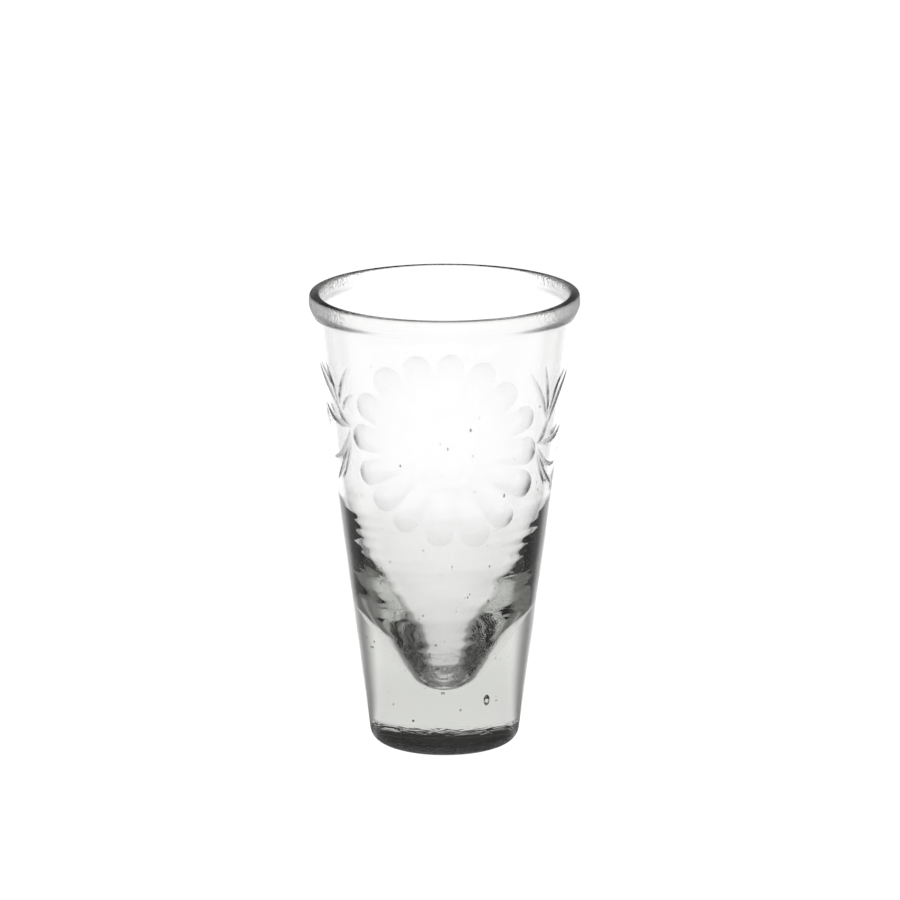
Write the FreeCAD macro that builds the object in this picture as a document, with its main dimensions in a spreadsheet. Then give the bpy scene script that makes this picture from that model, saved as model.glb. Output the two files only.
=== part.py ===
import FreeCAD, Part
import math
import os
import Sketcher

# A hand-made shot glass: a heavy solid base, a tapered bowl wall and a fire-polished rim bead, all
# of one clear glass and fused face to face. The front of the wall (-Y) carries a ground flower
# with a spray of leaves on each side.
# The origin is the middle of the foot's flat, on the surface that the glass stands on, +Z up.

dimensions = {
    "total_height": 97.2,
    "rim_radius": 28.5,
    "lip_width": 2.4,         # of the flat-topped lip, seen in section
    "lip_round": 0.9,         # of the lip's two fire-polished corners
    "bead_height": 3.5,       # the rim ring, from its seat on the wall to the top
    "bead_proud": 0.8,        # how far the lip stands out past the wall below it
    "wall": 1.8,              # thickness of the upper wall, measured level
    "foot_radius": 15.5,      # where the slope of the side would meet the table
    "foot_round": 2.85,
    "floor_thickness": 13.0,  # solid glass under the lowest point of the well
    "base_height": 28.2,      # where the gathered base ends and the blown wall begins
    "well_radius": 11.5,      # inside radius at the top of the base
    "dish_radius": 5.1,       # of the rounded dish that closes the well
    "dish_depth": 3.4,
    "flower_height": 68.7,
    "flower_radius": 21.7,
    "flower_turn": 4.5,       # of the petals, clockwise from upright, in degrees
    "petal_length": 9.6,
    "petal_width": 6.2,
    "petal_depth": 0.6,
    "spray_offset": 22.0,     # from the flower's middle to the foot of each spray
    "leaf_width": 1.5,
    "leaf_depth": 0.35,
}

largestWheel = 300.0          # radius of the flattest grinding wheel
passOverlap = 1.3             # length of one of several passes, over its share of the stroke
petalCount = 16
flowerFacing = math.radians(-90.0)

# The strokes of each spray, as start and tip, outwards and up from the foot of the spray.
# Each spray has a stem, a fan of leaves at its head, a side leaf and three hanging leaves.
leftSpray = (
    ((0.4, 0.4), (5.2, 4.4)),
    ((4.7, 3.9), (15.5, 10.8)),
    ((4.7, 4.9), (9.4, 12.2)),
    ((4.2, 4.9), (0.4, 14.0)),
    ((2.6, 4.4), (-0.9, 7.9)),
    ((1.4, 0.6), (11.5, 3.0)),
    ((1.2, -0.8), (9.2, -7.6)),
    ((1.2, -2.2), (7.4, -12.4)),
    ((0.6, -2.6), (3.8, -11.6)),
)
rightSpray = (
    ((0.4, 0.4), (3.8, 5.4)),
    ((3.2, 5.8), (-2.6, 16.7)),
    ((3.7, 6.2), (2.2, 17.6)),
    ((4.4, 5.8), (8.9, 13.6)),
    ((3.6, 3.6), (14.0, 13.8)),
    ((1.4, 0.4), (11.8, 1.8)),
    ((1.2, -0.8), (9.4, -5.0)),
    ((0.6, -2.2), (3.7, -9.6)),
    ((1.2, -1.8), (7.8, -9.8)),
)
# Side of the flower that each spray is on, how far it stands above the middle, its strokes.
sprays = ((-1, 3.0, leftSpray), (1, -0.8, rightSpray))

doc = FreeCAD.newDocument("ShotGlass")
sheet = doc.addObject("Spreadsheet::Sheet", "Dimensions")
for row, (name, value) in enumerate(dimensions.items(), start=1):
    sheet.set(f"A{row}", name)
    sheet.set(f"B{row}", str(value))
    sheet.setAlias(f"B{row}", name)
doc.recompute()

totalHeight = sheet.total_height
rimRadius = sheet.rim_radius
lipWidth = sheet.lip_width
lipRound = sheet.lip_round
wall = sheet.wall
footRadius = sheet.foot_radius
footRound = sheet.foot_round
floorThickness = sheet.floor_thickness
dishRadius = sheet.dish_radius
baseHeight = sheet.base_height
wellRadius = sheet.well_radius
dishHeight = floorThickness + sheet.dish_depth
wellSlope = math.atan((wellRadius - dishRadius) / (baseHeight - dishHeight))

shoulderHeight = totalHeight - sheet.bead_height
shoulderRadius = rimRadius - sheet.bead_proud
sideSlope = math.atan((shoulderRadius - footRadius) / shoulderHeight)

shoulderHeightCell = "Dimensions.total_height - Dimensions.bead_height"
shoulderRadiusCell = "Dimensions.rim_radius - Dimensions.bead_proud"
dishHeightCell = "Dimensions.floor_thickness + Dimensions.dish_depth"
wellSlopeCell = (
    "atan((Dimensions.well_radius - Dimensions.dish_radius)"
    f" / (Dimensions.base_height - ({dishHeightCell})))"
)


def outerRadius(height):
    """Radius of the plain tapered side at a height."""
    return footRadius + height * math.tan(sideSlope)


def point(radius, height):
    return FreeCAD.Vector(radius, height, 0)


def line(start, end):
    return Part.LineSegment(point(*start), point(*end))


def arc(centre, radius, startAngle, endAngle):
    circle = Part.Circle(point(*centre), FreeCAD.Vector(0, 0, 1), radius)
    return Part.ArcOfCircle(circle, startAngle, endAngle)


def around(middle, angle):
    """The lip's round at an angle about its middle."""
    return (middle[0] + lipRound * math.cos(angle), middle[1] + lipRound * math.sin(angle))


def tangentAngle(start, middle, side):
    """Where a line from start touches the lip's round, on its outer (-1) or inner (1) side."""
    lean = math.atan2(middle[1] - start[1], middle[0] - start[0])
    return lean + side * (math.asin(lipRound / math.dist(start, middle)) + math.pi / 2)


class Profile:
    """A half section on the XZ plane of its own body, turned once round the Z axis."""

    origin = (-1, 1)

    def __init__(self, name):
        self.body = doc.addObject("PartDesign::Body", name)
        self.sketch = self.body.newObject("Sketcher::SketchObject", name + "_section")
        planes = {feature.Role: feature for feature in self.body.Origin.OriginFeatures}
        self.sketch.AttachmentSupport = [(planes["XZ_Plane"], "")]
        self.sketch.MapMode = "FlatFace"

    def add(self, shape, construction=False):
        return self.sketch.addGeometry(shape, construction)

    def constrain(self, kind, *targets):
        return self.sketch.addConstraint(Sketcher.Constraint(kind, *targets))

    def join(self, *pairs):
        for first, second in pairs:
            self.constrain("Coincident", *first, *second)

    def size(self, kind, targets, value, cell):
        index = self.constrain(kind, *targets, value)
        self.sketch.setExpression(f"Constraints[{index}]", cell)

    def place(self, end, radius, radiusCell, height, heightCell):
        """Fix one end of a line or arc by its radius and its height."""
        self.size("DistanceX", (*self.origin, *end), radius, radiusCell)
        self.size("DistanceY", (*self.origin, *end), height, heightCell)

    def sideLine(self):
        """The line that the whole outside follows, from the table to the rim's seat."""
        side = self.add(line((footRadius, 0), (shoulderRadius, shoulderHeight)), True)
        self.constrain("PointOnObject", side, 1, -1)
        self.size("DistanceX", (*self.origin, side, 1), footRadius, "Dimensions.foot_radius")
        self.place((side, 2), shoulderRadius, shoulderRadiusCell, shoulderHeight, shoulderHeightCell)
        return side

    def turn(self):
        doc.recompute()
        turned = self.body.newObject("PartDesign::Revolution", self.body.Name + "_turned")
        turned.Profile = self.sketch
        turned.ReferenceAxis = (self.sketch, ["V_Axis"])
        turned.Angle = 360
        doc.recompute()
        return self.body


def solidBase():
    """The gathered base, with a rounded foot and the lower end of the well."""
    profile = Profile("solid_base")
    add = profile.add
    arcMiddle = footRadius - footRound * (1 / math.cos(sideSlope) - math.tan(sideSlope))
    dishRound = (dishRadius ** 2 + sheet.dish_depth ** 2) / (2 * sheet.dish_depth)
    dishMiddle = floorThickness + dishRound
    dishAngle = math.atan2(dishHeight - dishMiddle, dishRadius)
    footTop = (
        arcMiddle + footRound * math.cos(sideSlope),
        footRound - footRound * math.sin(sideSlope),
    )
    side = profile.sideLine()
    flat = add(line((0, 0), (arcMiddle, 0)))
    foot = add(arc((arcMiddle, footRound), footRound, -math.pi / 2, -sideSlope))
    flank = add(line(footTop, (outerRadius(baseHeight), baseHeight)))
    seat = add(line((outerRadius(baseHeight), baseHeight), (wellRadius, baseHeight)))
    cone = add(line((wellRadius, baseHeight), (dishRadius, dishHeight)))
    dish = add(arc((0, dishMiddle), dishRound, -math.pi / 2, dishAngle))
    core = add(line((0, floorThickness), (0, 0)))
    profile.join(
        ((flat, 1), profile.origin),
        ((flank, 2), (seat, 1)),
        ((seat, 2), (cone, 1)),
        ((cone, 2), (dish, 2)),
        ((dish, 1), (core, 1)),
        ((core, 2), profile.origin),
    )
    profile.constrain("Horizontal", flat)
    profile.constrain("Horizontal", seat)
    profile.constrain("Tangent", flat, 2, foot, 1)
    profile.constrain("Tangent", foot, 2, flank, 1)
    profile.constrain("PointOnObject", flank, 1, side)
    profile.constrain("PointOnObject", flank, 2, side)
    profile.constrain("PointOnObject", dish, 3, -2)
    profile.constrain("PointOnObject", dish, 1, -2)
    profile.size("Radius", (foot,), footRound, "Dimensions.foot_round")
    profile.place((seat, 2), wellRadius, "Dimensions.well_radius", baseHeight, "Dimensions.base_height")
    profile.place((cone, 2), dishRadius, "Dimensions.dish_radius", dishHeight, dishHeightCell)
    profile.size("DistanceY", (*profile.origin, dish, 1), floorThickness, "Dimensions.floor_thickness")
    return profile.turn()


def bowlBlank():
    """The blown wall before it is engraved, thickening in one sweep down to the base."""
    profile = Profile("bowl_blank")
    add = profile.add
    innerTop = shoulderRadius - wall
    rise = innerTop - shoulderHeight * math.tan(sideSlope) - wellRadius
    cornerHeight = (rise + baseHeight * math.tan(wellSlope)) / (math.tan(wellSlope) - math.tan(sideSlope))
    reach = (cornerHeight - baseHeight) / math.cos(wellSlope)
    sweep = reach / math.tan((wellSlope - sideSlope) / 2)
    sweepMiddle = (
        wellRadius - sweep * math.cos(wellSlope),
        baseHeight + sweep * math.sin(wellSlope),
    )
    thinTop = (
        sweepMiddle[0] + sweep * math.cos(sideSlope),
        sweepMiddle[1] - sweep * math.sin(sideSlope),
    )
    guideLength = 5.0
    guideEnd = (
        wellRadius - guideLength * math.sin(wellSlope),
        baseHeight - guideLength * math.cos(wellSlope),
    )
    side = profile.sideLine()
    outside = add(line((outerRadius(baseHeight), baseHeight), (shoulderRadius, shoulderHeight)))
    top = add(line((shoulderRadius, shoulderHeight), (innerTop, shoulderHeight)))
    inside = add(line((innerTop, shoulderHeight), thinTop))
    heel = add(arc(sweepMiddle, sweep, -wellSlope, -sideSlope))
    seat = add(line((wellRadius, baseHeight), (outerRadius(baseHeight), baseHeight)))
    guide = add(line((wellRadius, baseHeight), guideEnd), True)
    profile.join(
        ((outside, 2), (side, 2)),
        ((outside, 2), (top, 1)),
        ((top, 2), (inside, 1)),
        ((heel, 1), (seat, 1)),
        ((seat, 2), (outside, 1)),
    )
    profile.constrain("PointOnObject", outside, 1, side)
    profile.constrain("Horizontal", top)
    profile.constrain("Horizontal", seat)
    profile.constrain("Parallel", inside, outside)
    profile.constrain("Tangent", inside, 2, heel, 2)
    profile.constrain("Tangent", guide, 1, heel, 1)
    profile.size("Distance", (top,), wall, "Dimensions.wall")
    profile.place((seat, 1), wellRadius, "Dimensions.well_radius", baseHeight, "Dimensions.base_height")
    profile.size("Angle", (guide, 2, -2, 1), wellSlope, wellSlopeCell)
    profile.size("Distance", (guide,), guideLength, str(guideLength))
    return profile.turn()


def rimBead():
    """The fire-polished rim: a short flaring collar on the wall, closed by a flat-topped lip."""
    profile = Profile("rim_bead")
    add = profile.add
    innerFoot = (shoulderRadius - wall, shoulderHeight)
    outerFoot = (shoulderRadius, shoulderHeight)
    roundHeight = totalHeight - lipRound
    outerMiddle = (rimRadius - lipRound, roundHeight)
    innerMiddle = (rimRadius - lipWidth + lipRound, roundHeight)
    startAngle = tangentAngle(outerFoot, outerMiddle, -1)
    endAngle = tangentAngle(innerFoot, innerMiddle, 1)
    seat = add(line(innerFoot, outerFoot))
    neck = add(line(outerFoot, around(outerMiddle, startAngle)))
    outerRound = add(arc(outerMiddle, lipRound, startAngle, math.pi / 2))
    top = add(line((outerMiddle[0], totalHeight), (innerMiddle[0], totalHeight)))
    innerRound = add(arc(innerMiddle, lipRound, math.pi / 2, endAngle))
    inside = add(line(around(innerMiddle, endAngle), innerFoot))
    profile.join(
        ((seat, 2), (neck, 1)),
        ((inside, 2), (seat, 1)),
    )
    profile.constrain("Horizontal", seat)
    profile.constrain("Tangent", neck, 2, outerRound, 1)
    profile.constrain("Tangent", outerRound, 2, top, 1)
    profile.constrain("Tangent", top, 2, innerRound, 1)
    profile.constrain("Tangent", innerRound, 2, inside, 1)
    profile.constrain("Horizontal", top)
    profile.constrain("Equal", outerRound, innerRound)
    profile.size("Distance", (seat,), wall, "Dimensions.wall")
    profile.size("Radius", (outerRound,), lipRound, "Dimensions.lip_round")
    profile.size(
        "Distance",
        (top,),
        lipWidth - 2 * lipRound,
        "Dimensions.lip_width - 2 * Dimensions.lip_round",
    )
    profile.place((seat, 2), shoulderRadius, shoulderRadiusCell, shoulderHeight, shoulderHeightCell)
    profile.place(
        (outerRound, 3),
        outerMiddle[0],
        "Dimensions.rim_radius - Dimensions.lip_round",
        roundHeight,
        "Dimensions.total_height - Dimensions.lip_round",
    )
    return profile.turn()


def grindingWheel(across, up, lean, length, width, depth):
    """A round-edged wheel sunk in the wall so that it leaves a cut of the given size.

    across and up are measured on the surface from the flower's middle, lean is the cut's
    direction from upright. The wall's own bend is taken off, so all cuts come out alike.
    """
    height = sheet.flower_height + up * math.cos(sideSlope)
    radius = outerRadius(height)
    turn = flowerFacing + across / radius
    outward = FreeCAD.Vector(
        math.cos(turn) * math.cos(sideSlope),
        math.sin(turn) * math.cos(sideSlope),
        -math.sin(sideSlope),
    )
    sideways = FreeCAD.Vector(-math.sin(turn), math.cos(turn), 0)
    along = sideways * math.sin(lean) + outward.cross(sideways) * math.cos(lean)
    bend = math.cos(sideSlope) / radius
    rim = 1 / (8 * depth / length ** 2 - bend * math.sin(lean) ** 2)
    tread = 1 / (8 * depth / width ** 2 - bend * math.cos(lean) ** 2)
    surface = FreeCAD.Vector(radius * math.cos(turn), radius * math.sin(turn), height)
    return Part.makeTorus(rim - tread, tread, surface + outward * (rim - depth), outward.cross(along))


def longestPass(lean, depth):
    """The longest cut that one wheel can leave at a lean, as the wall bends away from it."""
    bend = math.cos(sideSlope) / outerRadius(sheet.flower_height)
    return math.sqrt(8 * depth / (bend * math.sin(lean) ** 2 + 1 / largestWheel))


def stroke(start, tip, width, depth):
    """The wheels of one cut between two points. A cut too long for one is ground in several."""
    length = math.dist(start, tip)
    lean = math.atan2(tip[0] - start[0], tip[1] - start[1])
    longest = longestPass(lean, depth)
    passes = 1
    if length > longest:
        passes = math.ceil(passOverlap * length / longest)
        length *= passOverlap / passes
    wheels = []
    for number in range(passes):
        share = (number + 0.5) / passes
        across = start[0] + (tip[0] - start[0]) * share
        up = start[1] + (tip[1] - start[1]) * share
        wheels.append(grindingWheel(across, up, lean, length, width, depth))
    return wheels


def petalCuts():
    """Broad round-ended scoops, all pointing at the flower's middle and ending short of it."""
    near = sheet.flower_radius - sheet.petal_length
    far = sheet.flower_radius
    cuts = []
    for number in range(petalCount):
        lean = 2 * math.pi * number / petalCount + math.radians(sheet.flower_turn)
        start = (near * math.sin(lean), near * math.cos(lean))
        tip = (far * math.sin(lean), far * math.cos(lean))
        cuts += stroke(start, tip, sheet.petal_width, sheet.petal_depth)
    return cuts


def leafCuts(hand, rise, strokes):
    cuts = []
    for (startOut, startUp), (tipOut, tipUp) in strokes:
        start = ((sheet.spray_offset + startOut) * hand, rise + startUp)
        tip = ((sheet.spray_offset + tipOut) * hand, rise + tipUp)
        cuts += stroke(start, tip, sheet.leaf_width, sheet.leaf_depth)
    return cuts


def bowlWall(blank):
    """The wall with its flower and leaves, ground one cut after another."""
    shape = blank.Shape.copy()
    cuts = petalCuts()
    for spray in sprays:
        cuts += leafCuts(*spray)
    for wheel in cuts:
        ground = shape.cut(wheel)
        if len(ground.Solids) != 1 or len(ground.Faces) <= len(shape.Faces):
            raise RuntimeError("a grinding cut missed the wall or split it")
        shape = ground.Solids[0]
    engraved = doc.addObject("Part::Feature", "bowl_wall")
    engraved.Shape = shape
    return engraved


def checkObjects():
    for item in doc.Objects:
        if "Invalid" in item.State or "Error" in item.State:
            raise RuntimeError(f"{item.Label} failed: {item.State}")


def checkSolid(part):
    shape = part.Shape
    if shape.isNull() or not shape.isValid() or len(shape.Solids) != 1:
        raise RuntimeError(f"{part.Label} is not one valid solid")


base = solidBase()
blank = bowlBlank()
bead = rimBead()
doc.recompute()
checkObjects()
bowl = bowlWall(blank)

parts = {"solid_base": base, "bowl_wall": bowl, "rim_bead": bead}
for label, part in parts.items():
    part.Label = label
doc.recompute()
checkObjects()

os.makedirs("parts", exist_ok=True)
for label, part in parts.items():
    checkSolid(part)
    part.Shape.exportStep(f"parts/{label}.step")
    box = part.Shape.BoundBox
    print(label, "volume", round(part.Shape.Volume, 1), "z", round(box.ZMin, 2), round(box.ZMax, 2))
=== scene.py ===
import math
import random

import bpy
import numpy as np
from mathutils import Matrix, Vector


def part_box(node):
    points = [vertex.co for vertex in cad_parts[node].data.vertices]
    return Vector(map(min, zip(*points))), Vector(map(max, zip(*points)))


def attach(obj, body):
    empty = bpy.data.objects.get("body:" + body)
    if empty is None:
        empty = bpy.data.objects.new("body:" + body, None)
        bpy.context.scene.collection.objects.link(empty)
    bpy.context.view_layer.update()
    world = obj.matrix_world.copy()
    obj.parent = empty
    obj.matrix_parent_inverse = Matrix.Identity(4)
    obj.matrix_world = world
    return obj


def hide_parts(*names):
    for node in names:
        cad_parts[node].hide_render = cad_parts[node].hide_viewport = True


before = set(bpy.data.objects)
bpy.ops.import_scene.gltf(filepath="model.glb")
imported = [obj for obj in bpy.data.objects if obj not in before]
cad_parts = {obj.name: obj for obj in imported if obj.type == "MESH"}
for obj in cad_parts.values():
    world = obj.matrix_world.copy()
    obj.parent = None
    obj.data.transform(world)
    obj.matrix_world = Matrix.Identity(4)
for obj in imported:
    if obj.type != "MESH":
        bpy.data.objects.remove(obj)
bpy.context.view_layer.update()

mm = 0.001

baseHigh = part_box("solid_base")[1]
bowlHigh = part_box("bowl_wall")[1]
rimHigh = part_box("rim_bead")[1]

glassShape = {
    "totalHeight": rimHigh.z,
    "rimRadius": rimHigh.x,
    "shoulderHeight": bowlHigh.z,
    "shoulderRadius": bowlHigh.x,
    "baseHeight": baseHigh.z,
    "footRadius": 15.5 * mm,
    "footRound": 2.85 * mm,
    "lipWidth": 2.4 * mm,
    "lipRise": 2.2 * mm,
    "lipSquareness": 5.0,
    "wall": 1.8 * mm,
    "wellRadius": 11.5 * mm,
    "dishRadius": 5.1 * mm,
    "dishDepth": 3.4 * mm,
    "floorThickness": 13.0 * mm,
    "engravedFrom": 43.0 * mm,
    "engravedTo": 92.0 * mm,
    "flatUnder": 12.4 * mm,
}

# rows of faces along the outline, and columns round it
rows = {
    "columns": 216,
    "under": 16,
    "foot": 9,
    "side": 56,
    "engravedPitch": 0.68 * mm,
    "flare": 14,
    "lip": 28,
    "neck": 24,
    "heel": 44,
    "well": 20,
    "dish": 10,
    "aboveDish": 0.15 * mm,  # last row of the well's side over the dish's edge
    "belowDishEdge": 0.03,  # first row of the dish under its edge, as an angle
    "mergeWithin": 0.002 * mm,
}
sideTan = (glassShape["shoulderRadius"] - glassShape["footRadius"]) / glassShape["shoulderHeight"]
sideSlope = math.atan(sideTan)
dishTop = glassShape["floorThickness"] + glassShape["dishDepth"]
wellTan = (glassShape["wellRadius"] - glassShape["dishRadius"]) / (glassShape["baseHeight"] - dishTop)
wellSlope = math.atan(wellTan)


def selectOnly(*pieces):
    bpy.ops.object.select_all(action="DESELECT")
    for piece in pieces:
        piece.select_set(True)
    bpy.context.view_layer.objects.active = pieces[0]


def outerRadius(height):
    return glassShape["footRadius"] + height * sideTan


def heelArc():
    size = glassShape
    innerTop = size["shoulderRadius"] - size["wall"]
    rise = innerTop - size["shoulderHeight"] * sideTan - size["wellRadius"]
    cornerHeight = (rise + size["baseHeight"] * wellTan) / (wellTan - sideTan)
    reach = (cornerHeight - size["baseHeight"]) / math.cos(wellSlope)
    radius = reach / math.tan((wellSlope - sideSlope) / 2)
    middleR = size["wellRadius"] - radius * math.cos(wellSlope)
    middleZ = size["baseHeight"] + radius * math.sin(wellSlope)
    topZ = middleZ - radius * math.sin(sideSlope)
    return radius, middleR, middleZ, topZ


def wellDish():
    depth = glassShape["dishDepth"]
    radius = (glassShape["dishRadius"] ** 2 + depth ** 2) / (2 * depth)
    return radius, glassShape["floorThickness"] + radius


def innerRadius(height):
    size = glassShape
    heelRadius, heelR, heelZ, heelTop = heelArc()
    dishRound, dishZ = wellDish()
    height = np.asarray(height, float)
    thin = outerRadius(height) - size["wall"]
    heel = heelR + np.sqrt(np.maximum(heelRadius ** 2 - (height - heelZ) ** 2, 0))
    cone = size["wellRadius"] + (height - size["baseHeight"]) * wellTan
    dish = np.sqrt(np.maximum(dishRound ** 2 - (height - dishZ) ** 2, 0))
    low = np.where(height > dishTop, cone, dish)
    return np.where(height > heelTop, thin, np.where(height > size["baseHeight"], heel, low))


def profilePoints():
    size = glassShape
    points = [(radius, 0.0) for radius in np.linspace(0, size["flatUnder"], rows["under"])]
    footMiddle = size["footRadius"] - size["footRound"] * (1 / math.cos(sideSlope) - sideTan)
    for step in range(rows["foot"] + 1):
        angle = -math.pi / 2 + (math.pi / 2 - sideSlope) * step / rows["foot"]
        across = footMiddle + size["footRound"] * math.cos(angle)
        points.append((across, size["footRound"] * (1 + math.sin(angle))))
    for height in np.linspace(points[-1][1], size["engravedFrom"], rows["side"])[1:-1]:
        points.append((outerRadius(height), height))
    engravedRows = round((size["engravedTo"] - size["engravedFrom"]) / rows["engravedPitch"])
    for height in np.linspace(size["engravedFrom"], size["engravedTo"], engravedRows):
        points.append((outerRadius(height), height))
    lipR = size["rimRadius"] - size["lipWidth"] / 2
    lipZ = size["totalHeight"] - size["lipRise"]
    for step in range(1, rows["flare"]):
        share = step / rows["flare"]
        swell = share * share * (3 - 2 * share)
        height = size["engravedTo"] + (lipZ - size["engravedTo"]) * share
        points.append((outerRadius(height) + (size["rimRadius"] - outerRadius(lipZ)) * swell, height))
    for step in range(rows["lip"] + 1):
        angle = math.pi * step / rows["lip"]
        across = math.copysign(abs(math.cos(angle)) ** (2 / size["lipSquareness"]), math.cos(angle))
        up = math.sin(angle) ** (2 / size["lipSquareness"])
        points.append((lipR + size["lipWidth"] / 2 * across, lipZ + size["lipRise"] * up))
    heelRadius, heelR, heelZ, heelTop = heelArc()
    dishRound, dishZ = wellDish()
    for height in np.linspace(size["shoulderHeight"], heelTop, rows["neck"]):
        points.append((float(innerRadius(height)), height))
    for height in np.linspace(heelTop, size["baseHeight"], rows["heel"])[1:]:
        points.append((float(innerRadius(height)), height))
    for height in np.linspace(size["baseHeight"], dishTop + rows["aboveDish"], rows["well"])[1:]:
        points.append((float(innerRadius(height)), height))
    points.append((size["dishRadius"], dishTop))
    edge = math.asin((dishTop - dishZ) / dishRound) - rows["belowDishEdge"]
    for step in range(rows["dish"] + 1):
        angle = edge - (math.pi / 2 + edge) * step / rows["dish"]
        points.append((dishRound * math.cos(angle), dishZ + dishRound * math.sin(angle)))
    points[-1] = (0.0, size["floorThickness"])
    return points


def turnBlank():
    points = [Vector((radius, 0, height)) for radius, height in profilePoints()]
    bpy.ops.mesh.primitive_plane_add(size=mm, location=points[0])
    blank = bpy.context.object
    blank.name = "blown_glass"
    bpy.ops.object.mode_set(mode="EDIT")
    bpy.ops.mesh.select_mode(type="VERT")
    bpy.ops.mesh.select_all(action="SELECT")
    bpy.ops.mesh.merge(type="CENTER")
    for last, point in zip(points, points[1:]):
        bpy.ops.mesh.extrude_vertices_move(TRANSFORM_OT_translate={"value": point - last})
    bpy.ops.mesh.select_all(action="SELECT")
    bpy.ops.mesh.spin(steps=rows["columns"], angle=2 * math.pi, center=(0, 0, 0), axis=(0, 0, 1))
    bpy.ops.mesh.select_all(action="SELECT")
    bpy.ops.mesh.remove_doubles(threshold=rows["mergeWithin"])
    bpy.ops.mesh.normals_make_consistent(inside=False)
    bpy.ops.object.mode_set(mode="OBJECT")
    selectOnly(blank)
    bpy.ops.object.transform_apply(location=True, rotation=True, scale=True)
    print("turned the blank,", len(points), "rows")
    return blank


engraving = {
    "flowerHeight": 68.7 * mm,
    "petalHalf": 3.15 * mm,
    "petalLength": 12.5 * mm,
    "petalDepth": 0.5 * mm,
    "petalTurn": math.radians(4.5),
    "petalRoot": 0.75,  # width at the root over the width at the lobe
    "petalFrost": 0.85,
    "sprayAcross": 22.0 * mm,
    "leafHalf": 0.85 * mm,
    "leafDepth": 0.16 * mm,
    "softEdge": 0.3 * mm,
    "facing": -math.pi / 2,
}

# reach of each petal from the flower's middle in mm, clockwise from the top, cut freehand
petalReach = (
    21.8, 21.6, 20.8, 21.9, 21.9, 22.8, 22.5, 22.6,
    21.2, 20.4, 20.2, 20.8, 21.8, 22.4, 22.8, 22.2,
)

# each leaf of a spray: start and tip outwards and up from its foot, and its bend, in mm
leftSpray = (
    ((0.2, 0.2), (5.2, 4.4), 0.4),
    ((4.3, 3.6), (16.6, 11.4), -1.0),
    ((4.7, 4.5), (9.6, 12.6), -0.5),
    ((4.3, 4.5), (0.4, 14.2), 0.6),
    ((3.0, 3.6), (-0.9, 7.9), 0.5),
    ((1.0, 0.4), (12.0, 3.2), 0.8),
    ((0.6, -0.4), (9.4, -8.4), 2.0),
    ((0.8, -1.8), (7.6, -13.0), 1.0),
    ((0.6, -2.2), (3.8, -11.8), 0.5),
)
rightSpray = (
    ((0.2, 0.2), (3.8, 5.4), 0.4),
    ((3.4, 5.2), (-2.7, 16.8), 0.6),
    ((3.7, 5.6), (2.2, 17.8), 0.2),
    ((4.2, 5.2), (8.9, 13.8), -0.7),
    ((3.2, 3.2), (14.4, 14.2), -1.2),
    ((1.0, 0.2), (12.2, 2.0), 0.8),
    ((0.6, -0.6), (9.6, -5.8), 1.8),
    ((0.4, -1.6), (3.7, -9.8), 0.4),
    ((0.8, -1.4), (8.0, -10.4), 1.2),
)
# side of the flower, height of the spray's foot over the middle in mm, its leaves
sprays = ((-1, 3.0, leftSpray), (1, -0.8, rightSpray))


def layOutCuts():
    dice = random.Random(7)
    petals, leaves = [], []
    size = engraving
    for number, reach in enumerate(petalReach):
        lean = 2 * math.pi * number / len(petalReach) + size["petalTurn"]
        petals.append({
            "lean": lean + dice.uniform(-0.03, 0.03),
            "far": reach * mm,
            "half": size["petalHalf"] * dice.uniform(0.9, 1.06),
            "depth": size["petalDepth"] * dice.uniform(0.85, 1.12),
        })
    for hand, rise, spray in sprays:
        for start, tip, bend in spray:
            leaves.append({
                "across": size["sprayAcross"] * hand + start[0] * hand * mm,
                "up": (rise + start[1]) * mm,
                "lean": math.atan2(tip[0] - start[0], tip[1] - start[1]) * hand,
                "length": math.dist(start, tip) * mm,
                "bend": bend * hand * mm,
                "half": size["leafHalf"] * dice.uniform(0.8, 1.15),
                "depth": size["leafDepth"] * dice.uniform(0.85, 1.15),
            })
    return petals, leaves


def surfacePlace(angle, height):
    turn = (angle - engraving["facing"] + math.pi) % (2 * math.pi) - math.pi
    across = turn * outerRadius(height)
    up = (height - engraving["flowerHeight"]) / math.cos(sideSlope)
    return across, up


def petalCut(petal, angle, height):
    across, up = surfacePlace(angle, height)
    sine, cosine = math.sin(petal["lean"]), math.cos(petal["lean"])
    along = across * sine + up * cosine
    aside = across * cosine - up * sine
    lobe = petal["far"] - petal["half"]
    near = petal["far"] - engraving["petalLength"]
    share = np.clip((along - near) / (lobe - near), 0, 1)
    root = engraving["petalRoot"]
    half = petal["half"] * (root + (1 - root) * share)
    beyond = np.maximum(along - lobe, 0)
    before = np.maximum(near + 0.5 * half - along, 0)
    inside = half - np.sqrt(aside ** 2 + beyond ** 2 + before ** 2)
    bowl = np.clip(inside / half, 0, 1)
    depth = petal["depth"] * share ** 1.2 * (1 - (1 - bowl) ** 2)
    return np.where(inside > 0, depth, 0), inside, share


def leafCut(leaf, angle, height):
    across, up = surfacePlace(angle, height)
    across = across - leaf["across"]
    up = up - leaf["up"]
    sine, cosine = math.sin(leaf["lean"]), math.cos(leaf["lean"])
    along = (across * sine + up * cosine) / leaf["length"]
    aside = across * cosine - up * sine
    aside = aside - leaf["bend"] * 4 * along * (1 - along)
    blade = np.clip(4 * along * (1 - along), 0, 1)
    skew = np.clip(1.25 - 0.5 * along, 0, 2)
    half = leaf["half"] * np.sqrt(blade) * skew
    inside = np.where(blade > 0, half - np.abs(aside), -1.0)
    depth = leaf["depth"] * blade ** 0.5 * np.clip(inside / np.maximum(half, 1e-9), 0, 1)
    return np.where(inside > 0, depth, 0), inside, 1.0


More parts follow.
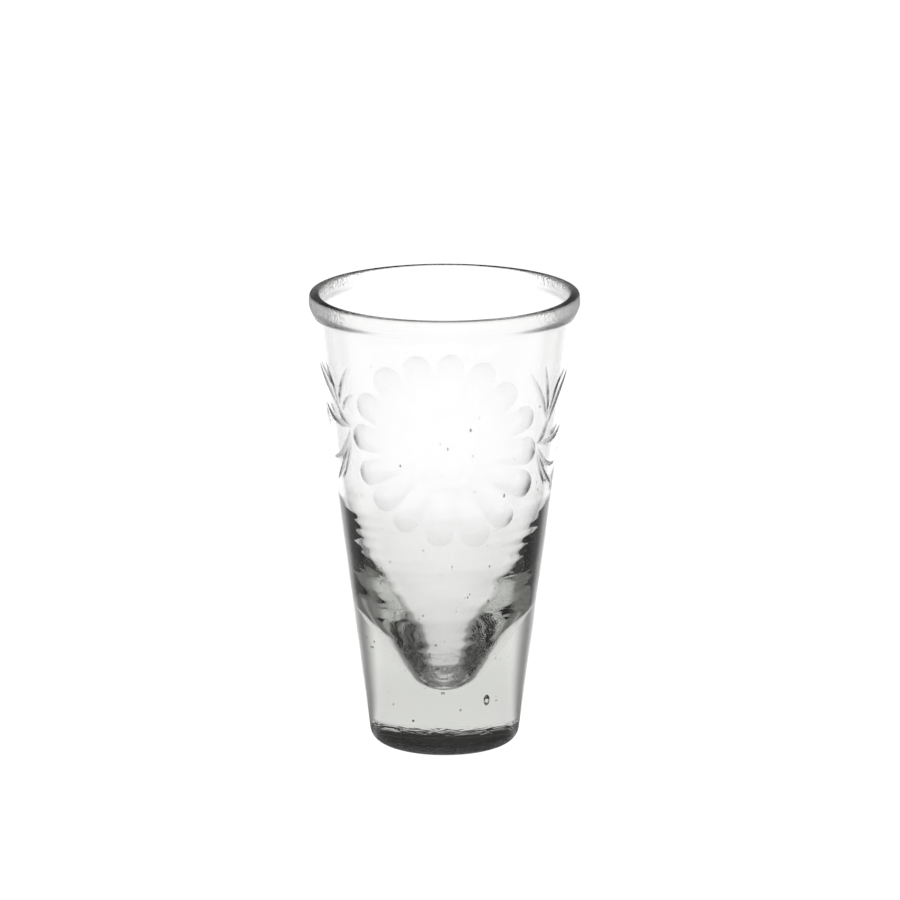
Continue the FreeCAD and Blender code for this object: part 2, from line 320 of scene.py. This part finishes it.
def cutDepth(angle, height, petals, leaves):
    depth = np.zeros(len(angle))
    frost = np.zeros(len(angle))
    for cuts, cut in ((petals, petalCut), (leaves, leafCut)):
        for one in cuts:
            oneDepth, inside, share = cut(one, angle, height)
            depth = np.maximum(depth, oneDepth)
            full = engraving["petalFrost"] if cut is petalCut else 1.0
            soft = np.clip(inside / engraving["softEdge"] + 0.4, 0, 1)
            frost = np.maximum(frost, soft * share * full)
    return depth, frost


def meshCoords(piece):
    coords = np.empty(len(piece.data.vertices) * 3)
    piece.data.vertices.foreach_get("co", coords)
    return coords.reshape(-1, 3)


refineReach = (0.45 * mm, 0.2 * mm)  # how near a cut's edge the faces are split, first and second time


def refine(glass, petals, leaves):
    for level, reach in enumerate(refineReach):
        count = len(glass.data.polygons)
        centres = np.empty(count * 3)
        glass.data.polygons.foreach_get("center", centres)
        centres = centres.reshape(-1, 3)
        height = centres[:, 2]
        radius = np.hypot(centres[:, 0], centres[:, 1])
        angle = np.arctan2(centres[:, 1], centres[:, 0])
        wallFace = radius > outerRadius(height) - 0.5 * mm
        wallFace &= (height > glassShape["engravedFrom"]) & (height < glassShape["engravedTo"])
        chosen = np.zeros(count, bool)
        index = np.nonzero(wallFace)[0]
        for cuts, cut in ((petals, petalCut), (leaves, leafCut)):
            for one in cuts:
                inside = cut(one, angle[index], height[index])[1]
                onlyEdge = level == 1 and cut is petalCut
                chosen[index] |= np.abs(inside) < reach if onlyEdge else inside > -reach
        selectOnly(glass)
        bpy.ops.object.mode_set(mode="EDIT")
        bpy.ops.mesh.select_mode(type="FACE")
        bpy.ops.mesh.select_all(action="DESELECT")
        bpy.ops.object.mode_set(mode="OBJECT")
        glass.data.polygons.foreach_set("select", chosen)
        bpy.ops.object.mode_set(mode="EDIT")
        bpy.ops.mesh.subdivide(number_cuts=1, quadcorner="INNERVERT")
        bpy.ops.object.mode_set(mode="OBJECT")
        print("refined", level, int(chosen.sum()), "faces to", len(glass.data.polygons))


waves = {
    "outer": 0.022 * mm,
    "outerPitch": 16 * mm,
    "outerThread": 0.006 * mm,
    "outerThreadPitch": 3.2 * mm,
    "inner": 0.024 * mm,
    "innerPitch": 9 * mm,
    "innerThread": 0.018 * mm,
    "innerThreadPitch": 2.9 * mm,
    "under": 0.6 * mm,
    "underReach": 11.5 * mm,
    "squash": 0.004,  # how far the round is out of true at the lip
}


# broad waves that run round and up the glass
def ripple(angle, height, seed, count, pitch):
    dice = random.Random(seed)
    total = np.zeros(len(angle))
    for _ in range(count):
        around = dice.choice((0, 1, 1, 2, 2, 3, 4))
        phase = height * 2 * math.pi / (dice.uniform(0.6, 1.6) * pitch)
        total += math.sqrt(2 / count) * np.sin(around * angle + phase + dice.uniform(0, 6.28))
    return total


# fine turns wound round the glass like a thread, each fading in and out along its way
def winding(angle, height, seed, count, pitch):
    dice = random.Random(seed)
    total = np.zeros(len(angle))
    for _ in range(count):
        turns = dice.choice((1, 2, 3, 4))
        phase = height * 2 * math.pi / (dice.uniform(0.75, 1.35) * pitch)
        around = dice.choice((2, 3, 5))
        swell = 0.5 + 0.5 * np.sin(around * angle + height / (4 * mm) + dice.uniform(0, 6.28))
        total += math.sqrt(2 / count) * swell * np.sin(phase - turns * angle + dice.uniform(0, 6.28))
    return total


# 0 under the first height, 1 over the second, straight between
def rise(height, low, high):
    return np.clip((height - low * mm) / ((high - low) * mm), 0, 1)


def outerWaves(angle, height):
    wave = waves["outer"] * ripple(angle, height, 3, 14, waves["outerPitch"])
    wave += waves["outerThread"] * winding(angle, height, 5, 10, waves["outerThreadPitch"])
    return wave * rise(height, 6, 20) * (1 - rise(height, 84, 92))


def innerWaves(angle, height):
    low = (1 - rise(height, 50, 64)) * rise(height, 14, 22)  # strongest where the wall is thick
    broad = waves["inner"] * ripple(angle, height, 11, 18, waves["innerPitch"])
    fine = waves["innerThread"] * winding(angle, height, 17, 12, waves["innerThreadPitch"])
    return broad * (0.4 + 1.2 * low) + fine * (0.15 + 0.85 * low)


def underRelief(angle, radius):
    sag = np.sin(radius / (1.3 * mm) + 2 * np.sin(angle)) * np.sin(3 * angle + radius / (2.4 * mm))
    rest = np.clip((waves["underReach"] - radius) / (2 * mm), 0, 1)
    return waves["under"] * (0.5 + 0.5 * sag) * rest


marking = {
    "lipGround": 1.2,
    "lipMarks": 0.8,
    "lipMarksFrom": 94.6 * mm,
    "lipInside": 2.1 * mm,  # how far in from the rim the lip is ground
    "wornTo": 2.7 * mm,
    "wornPitch": 3 * mm,
    "underTo": 2.4 * mm,
}


# where the skin is ground, worn or marked by the tool, from 0 to 1 and a little more on the lip
def skinMasks(angle, height, radius, inside, frost):
    lip = rise(height, 92, 94) * np.cos(angle) ** 2
    lip *= radius > glassShape["rimRadius"] - marking["lipInside"]
    scuffs = ripple(angle, height + radius, 31, 12, marking["wornPitch"])
    worn = (height < marking["wornTo"]) * np.clip(0.2 + 0.6 * scuffs, 0, 1)
    well = inside * (1 - rise(height, 23, 26)) * np.clip((height - dishTop) / mm, 0.1, 1)
    lipMarks = marking["lipMarks"] * lip * (height > marking["lipMarksFrom"])
    return {
        "ground": np.maximum(frost, np.maximum(marking["lipGround"] * lip, worn)),
        "well": well * np.clip(3 * np.cos(angle) ** 2 - 0.2, 0.05, 1),
        "under": np.maximum(1.0 * (height < marking["underTo"]), lipMarks),
    }


def shapeGlass(glass, petals, leaves):
    size = glassShape
    coords = meshCoords(glass)
    x, y, height = coords.T
    radius = np.hypot(x, y)
    angle = np.arctan2(y, x)
    middle = (outerRadius(height) + innerRadius(height)) / 2
    outside = (radius > middle) & (height > size["footRound"]) & (height < size["engravedTo"] + 0.01 * mm)
    inside = (radius < middle) & (height > size["floorThickness"] + 0.2 * mm) & (radius > 2 * mm)
    under = (height < 0.01 * mm) & (radius < 12 * mm)
    depth, frost = cutDepth(angle, height, petals, leaves)
    frost[~outside] = 0
    outer = outerRadius(height) + outerWaves(angle, height) - depth
    new = np.where(outside, outer, radius)
    new += np.where(inside, innerWaves(angle, height), 0)
    oval = 0.5 + 0.5 * np.cos(2 * angle + 0.9)
    new *= 1 - waves["squash"] * oval * np.clip(height / size["totalHeight"], 0, 1)
    coords[:, 2] += np.where(under, underRelief(angle, radius), 0)
    coords[:, 0] = new * np.cos(angle)
    coords[:, 1] = new * np.sin(angle)
    glass.data.vertices.foreach_set("co", coords.ravel())
    masks = skinMasks(angle, coords[:, 2], radius, inside, frost)
    for name, values in masks.items():
        attribute = glass.data.attributes.new(name, "FLOAT", "POINT")
        attribute.data.foreach_set("value", values)
    glass.data.update()
    print("glass", len(glass.data.vertices), "points")


seeds = {
    "count": 200,
    "bubble": Vector((7.5, -8.2, 11.6)) * mm,
    "bubbleSize": (0.62 * mm, 0.55 * mm, 1.25 * mm),
    "smallest": 0.06,  # radii in mm
    "spread": 0.045,
    "largest": 0.22,
    "skin": 0.75 * mm,  # clear glass left outside a seed, past the deepest cut
    "wellSkin": 0.3 * mm,
}


def scatterSeeds():
    dice = random.Random(21)
    places = [(seeds["bubble"], seeds["bubbleSize"])]
    for _ in range(seeds["count"]):
        height = dice.choice((dice.gauss(30, 9), dice.uniform(6, 88))) * mm
        height = min(max(height, 5 * mm), 89 * mm)
        angle = dice.uniform(0, 2 * math.pi)
        size = min(seeds["largest"], seeds["smallest"] + dice.expovariate(1 / seeds["spread"])) * mm
        low = float(innerRadius(height)) if height > glassShape["floorThickness"] + mm else 0.0
        low += size + seeds["wellSkin"]
        high = outerRadius(height) - size - seeds["skin"]
        radius = low + (high - low) * dice.random() ** 0.7
        place = Vector((radius * math.cos(angle), radius * math.sin(angle), height))
        places.append((place, (size, size, size * dice.uniform(1, 1.8))))
    return places


def addSeeds(glass):
    bpy.ops.mesh.primitive_ico_sphere_add(subdivisions=2, radius=1.0, location=(0, 0, 0))
    first = bpy.context.object
    copies = []
    for place, size in scatterSeeds():
        copy = first.copy()
        copy.data = first.data.copy()
        bpy.context.collection.objects.link(copy)
        copy.location = place
        copy.scale = size
        copies.append(copy)
    bpy.data.objects.remove(first)
    selectOnly(*copies)
    bpy.ops.object.transform_apply(location=True, rotation=True, scale=True)
    bpy.ops.object.join()
    joined = bpy.context.object
    bpy.ops.object.mode_set(mode="EDIT")
    bpy.ops.mesh.select_all(action="SELECT")
    bpy.ops.mesh.flip_normals()  # a seed is a hollow in the glass
    bpy.ops.object.mode_set(mode="OBJECT")
    selectOnly(glass, joined)
    bpy.ops.object.join()
    print("seeds", len(copies))


clearGlass = {
    "transmission": 0.99,  # the rest is a slight haze
    "index": 1.52,
    "tint": (0.782, 0.79, 0.768, 1),
    "density": 55,
    "groundRoughness": 0.34,
    "grainScale": 4500,
    "grainStrength": 0.25,
    "grainDepth": 0.05 * mm,
    "toolScale": 900,
    "toolMarks": (("well", 0.5, 0.12 * mm), ("under", 0.9, 0.6 * mm)),  # mask, strength, depth
}


def noiseOver(nodes, links, place, scale, detail):
    noise = nodes.new("ShaderNodeTexNoise")
    noise.inputs["Scale"].default_value = scale
    noise.inputs["Detail"].default_value = detail
    links.new(place, noise.inputs["Vector"])
    return noise


def maskOf(nodes, name):
    mask = nodes.new("ShaderNodeAttribute")
    mask.attribute_name = name
    return mask.outputs["Fac"]


def bumpWhere(nodes, links, mask, strength, depth, height):
    amount = nodes.new("ShaderNodeMath")
    amount.operation = "MULTIPLY"
    amount.inputs[1].default_value = strength
    links.new(mask, amount.inputs[0])
    bump = nodes.new("ShaderNodeBump")
    bump.inputs["Distance"].default_value = depth
    links.new(amount.outputs["Value"], bump.inputs["Strength"])
    links.new(height, bump.inputs["Height"])
    return bump


def glassMaterial():
    look = clearGlass
    material = bpy.data.materials.new("clearGlass")
    material.use_nodes = True
    nodes = material.node_tree.nodes
    links = material.node_tree.links
    shader = nodes["Principled BSDF"]
    shader.inputs["Base Color"].default_value = (1, 1, 1, 1)
    shader.inputs["Transmission Weight"].default_value = look["transmission"]
    shader.inputs["IOR"].default_value = look["index"]
    place = nodes.new("ShaderNodeTexCoord").outputs["Object"]
    ground = maskOf(nodes, "ground")
    roughness = nodes.new("ShaderNodeMapRange")
    roughness.clamp = False  # the lip is ground a little coarser than the cuts
    roughness.inputs["To Max"].default_value = look["groundRoughness"]
    links.new(ground, roughness.inputs["Value"])
    links.new(roughness.outputs["Result"], shader.inputs["Roughness"])
    grain = noiseOver(nodes, links, place, look["grainScale"], 2).outputs["Fac"]
    bump = bumpWhere(nodes, links, ground, look["grainStrength"], look["grainDepth"], grain)
    tool = noiseOver(nodes, links, place, look["toolScale"], 3)
    tool.inputs["Distortion"].default_value = 1.2
    for mask, strength, depth in look["toolMarks"]:
        last = bump.outputs["Normal"]
        bump = bumpWhere(nodes, links, maskOf(nodes, mask), strength, depth, tool.outputs["Fac"])
        links.new(last, bump.inputs["Normal"])
    links.new(bump.outputs["Normal"], shader.inputs["Normal"])
    tint = nodes.new("ShaderNodeVolumeAbsorption")
    tint.inputs["Color"].default_value = look["tint"]
    tint.inputs["Density"].default_value = look["density"]
    links.new(tint.outputs["Volume"], nodes["Material Output"].inputs["Volume"])
    return material


petals, leaves = layOutCuts()
glass = turnBlank()
refine(glass, petals, leaves)
shapeGlass(glass, petals, leaves)
addSeeds(glass)
glass.data.materials.clear()
glass.data.materials.append(glassMaterial())
selectOnly(glass)
bpy.ops.object.shade_smooth()
print("triangles", sum(len(p.vertices) - 2 for p in glass.data.polygons))

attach(glass, "root")
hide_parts("rim_bead", "bowl_wall", "solid_base")

studio = {
    "floorSize": 60.0,
    "floorDrop": 0.2 * mm,
    "floorGlow": 1.06,
    "nearFrom": 70 * mm,
    "nearTo": 240 * mm,
    "nearShade": 0.88,
    "horizonFrom": 0.05,
    "horizonTo": 0.17,
    "patchScale": 4,
    "patchRange": (0.38, 0.62, 0.4, 1.9),  # noise from and to, glow from and to
}

# glow round the glass: share of a half turn from the far side, level
sideGlow = (
    (0.0, 1.22), (0.20, 1.18), (0.31, 0.42), (0.42, 0.28),
    (0.50, 0.7), (0.58, 0.3), (0.72, 0.34), (1.0, 0.5),
)
# glow of the room: sine of the height, level
upperGlow = ((0.0, 0.38), (0.3, 0.34), (0.5, 0.2), (0.7, 0.16), (0.85, 0.34), (1.0, 0.2))


def glowMaterial(name):
    material = bpy.data.materials.new(name)
    material.use_nodes = True
    nodes = material.node_tree.nodes
    nodes.clear()
    glow = nodes.new("ShaderNodeEmission")
    glow.inputs["Strength"].default_value = studio["floorGlow"]
    output = nodes.new("ShaderNodeOutputMaterial")
    material.node_tree.links.new(glow.outputs["Emission"], output.inputs["Surface"])
    return material


def mapRange(nodes, links, source, fromMin, fromMax, toMin=0.0, toMax=1.0):
    ramp = nodes.new("ShaderNodeMapRange")
    ramp.interpolation_type = "SMOOTHSTEP"
    ramp.inputs["From Min"].default_value = fromMin
    ramp.inputs["From Max"].default_value = fromMax
    for end, value in (("To Min", toMin), ("To Max", toMax)):
        if isinstance(value, float):
            ramp.inputs[end].default_value = value
        else:
            links.new(value, ramp.inputs[end])
    links.new(source, ramp.inputs["Value"])
    return ramp.outputs["Result"]


def levels(nodes, links, source, stops):
    ramp = nodes.new("ShaderNodeValToRGB")
    ramp.color_ramp.interpolation = "EASE"
    elements = ramp.color_ramp.elements
    elements.remove(elements[1])
    for place, level in stops[1:]:
        elements.new(place)
    for element, (place, level) in zip(elements, stops):
        element.color = (level, level, level, 1)
    links.new(source, ramp.inputs["Fac"])
    return ramp.outputs["Color"]


def mathOf(nodes, links, operation, first, second=None):
    step = nodes.new("ShaderNodeMath")
    step.operation = operation
    for socket, value in zip(step.inputs, (first, second)):
        if isinstance(value, float):
            socket.default_value = value
        elif value is not None:
            links.new(value, socket)
    return step.outputs["Value"]


# the glow by the bearing from the far side, and the height of the place
def roundGlow(nodes, links, place):
    split = nodes.new("ShaderNodeSeparateXYZ")
    links.new(place, split.inputs["Vector"])
    turn = mathOf(nodes, links, "ARCTAN2", split.outputs["X"], split.outputs["Y"])
    spread = mathOf(nodes, links, "ABSOLUTE", turn)
    share = mathOf(nodes, links, "DIVIDE", spread, math.pi)
    return levels(nodes, links, share, sideGlow), split.outputs["Z"]


def addPlane(name):
    bpy.ops.mesh.primitive_plane_add(size=studio["floorSize"], location=(0, 0, -studio["floorDrop"]))
    plane = bpy.context.object
    plane.name = name
    plane.data.materials.append(glowMaterial(name + "Glow"))
    return plane


# the floor that is seen gives no light, and the one that gives light is not seen
def layFloor():
    floor = addPlane("floor")
    for kind in ("diffuse", "glossy", "transmission", "shadow", "volume_scatter"):
        setattr(floor, "visible_" + kind, False)
    table = addPlane("table_light")
    table.visible_camera = False
    tree = table.data.materials[0].node_tree
    nodes, links = tree.nodes, tree.links
    place = nodes.new("ShaderNodeTexCoord").outputs["Object"]
    aside = roundGlow(nodes, links, place)[0]
    distance = nodes.new("ShaderNodeVectorMath")
    distance.operation = "LENGTH"
    links.new(place, distance.inputs[0])
    away = distance.outputs["Value"]
    near = mapRange(nodes, links, away, studio["nearFrom"], studio["nearTo"], studio["nearShade"])
    glow = mathOf(nodes, links, "MULTIPLY", aside, near)
    links.new(glow, nodes["Emission"].inputs["Strength"])
    print("floor laid")


def lightRoom():
    world = bpy.data.worlds.new("studio")
    bpy.context.scene.world = world
    world.use_nodes = True
    nodes, links = world.node_tree.nodes, world.node_tree.links
    place = nodes.new("ShaderNodeTexCoord").outputs["Generated"]
    aside, height = roundGlow(nodes, links, place)
    cloud = noiseOver(nodes, links, place, studio["patchScale"], 1).outputs["Fac"]
    patchy = mapRange(nodes, links, cloud, *studio["patchRange"])
    upper = mathOf(nodes, links, "MULTIPLY", levels(nodes, links, height, upperGlow), patchy)
    glow = mapRange(nodes, links, height, studio["horizonFrom"], studio["horizonTo"], aside, upper)
    seen = nodes.new("ShaderNodeMix")
    links.new(nodes.new("ShaderNodeLightPath").outputs["Is Camera Ray"], seen.inputs["Factor"])
    links.new(glow, seen.inputs["A"])
    seen.inputs["B"].default_value = studio["floorGlow"]
    links.new(seen.outputs["Result"], nodes["Background"].inputs["Strength"])
    print("room lit")


layFloor()
lightRoom()

view = {
    "away": 1.25,
    "height": 0.378,
    "aim": Vector((1.15 * mm, 0, 63.1 * mm)),
    "lens": 244.6,
    "sensor": 36,
}


def placeCamera():
    bpy.ops.object.camera_add(location=(0, -view["away"], view["height"]))
    camera = bpy.context.object
    camera.rotation_euler = (view["aim"] - camera.location).to_track_quat("-Z", "Y").to_euler()
    camera.data.lens = view["lens"]
    camera.data.sensor_width = view["sensor"]
    camera.data.clip_end = 200
    bpy.context.scene.camera = camera


placeCamera()
scene = bpy.context.scene
scene.view_settings.view_transform = "Standard"
scene.cycles.transmission_bounces = 48  # light runs far inside the wall before it leaves
scene.cycles.glossy_bounces = 48
scene.cycles.max_bounces = 64
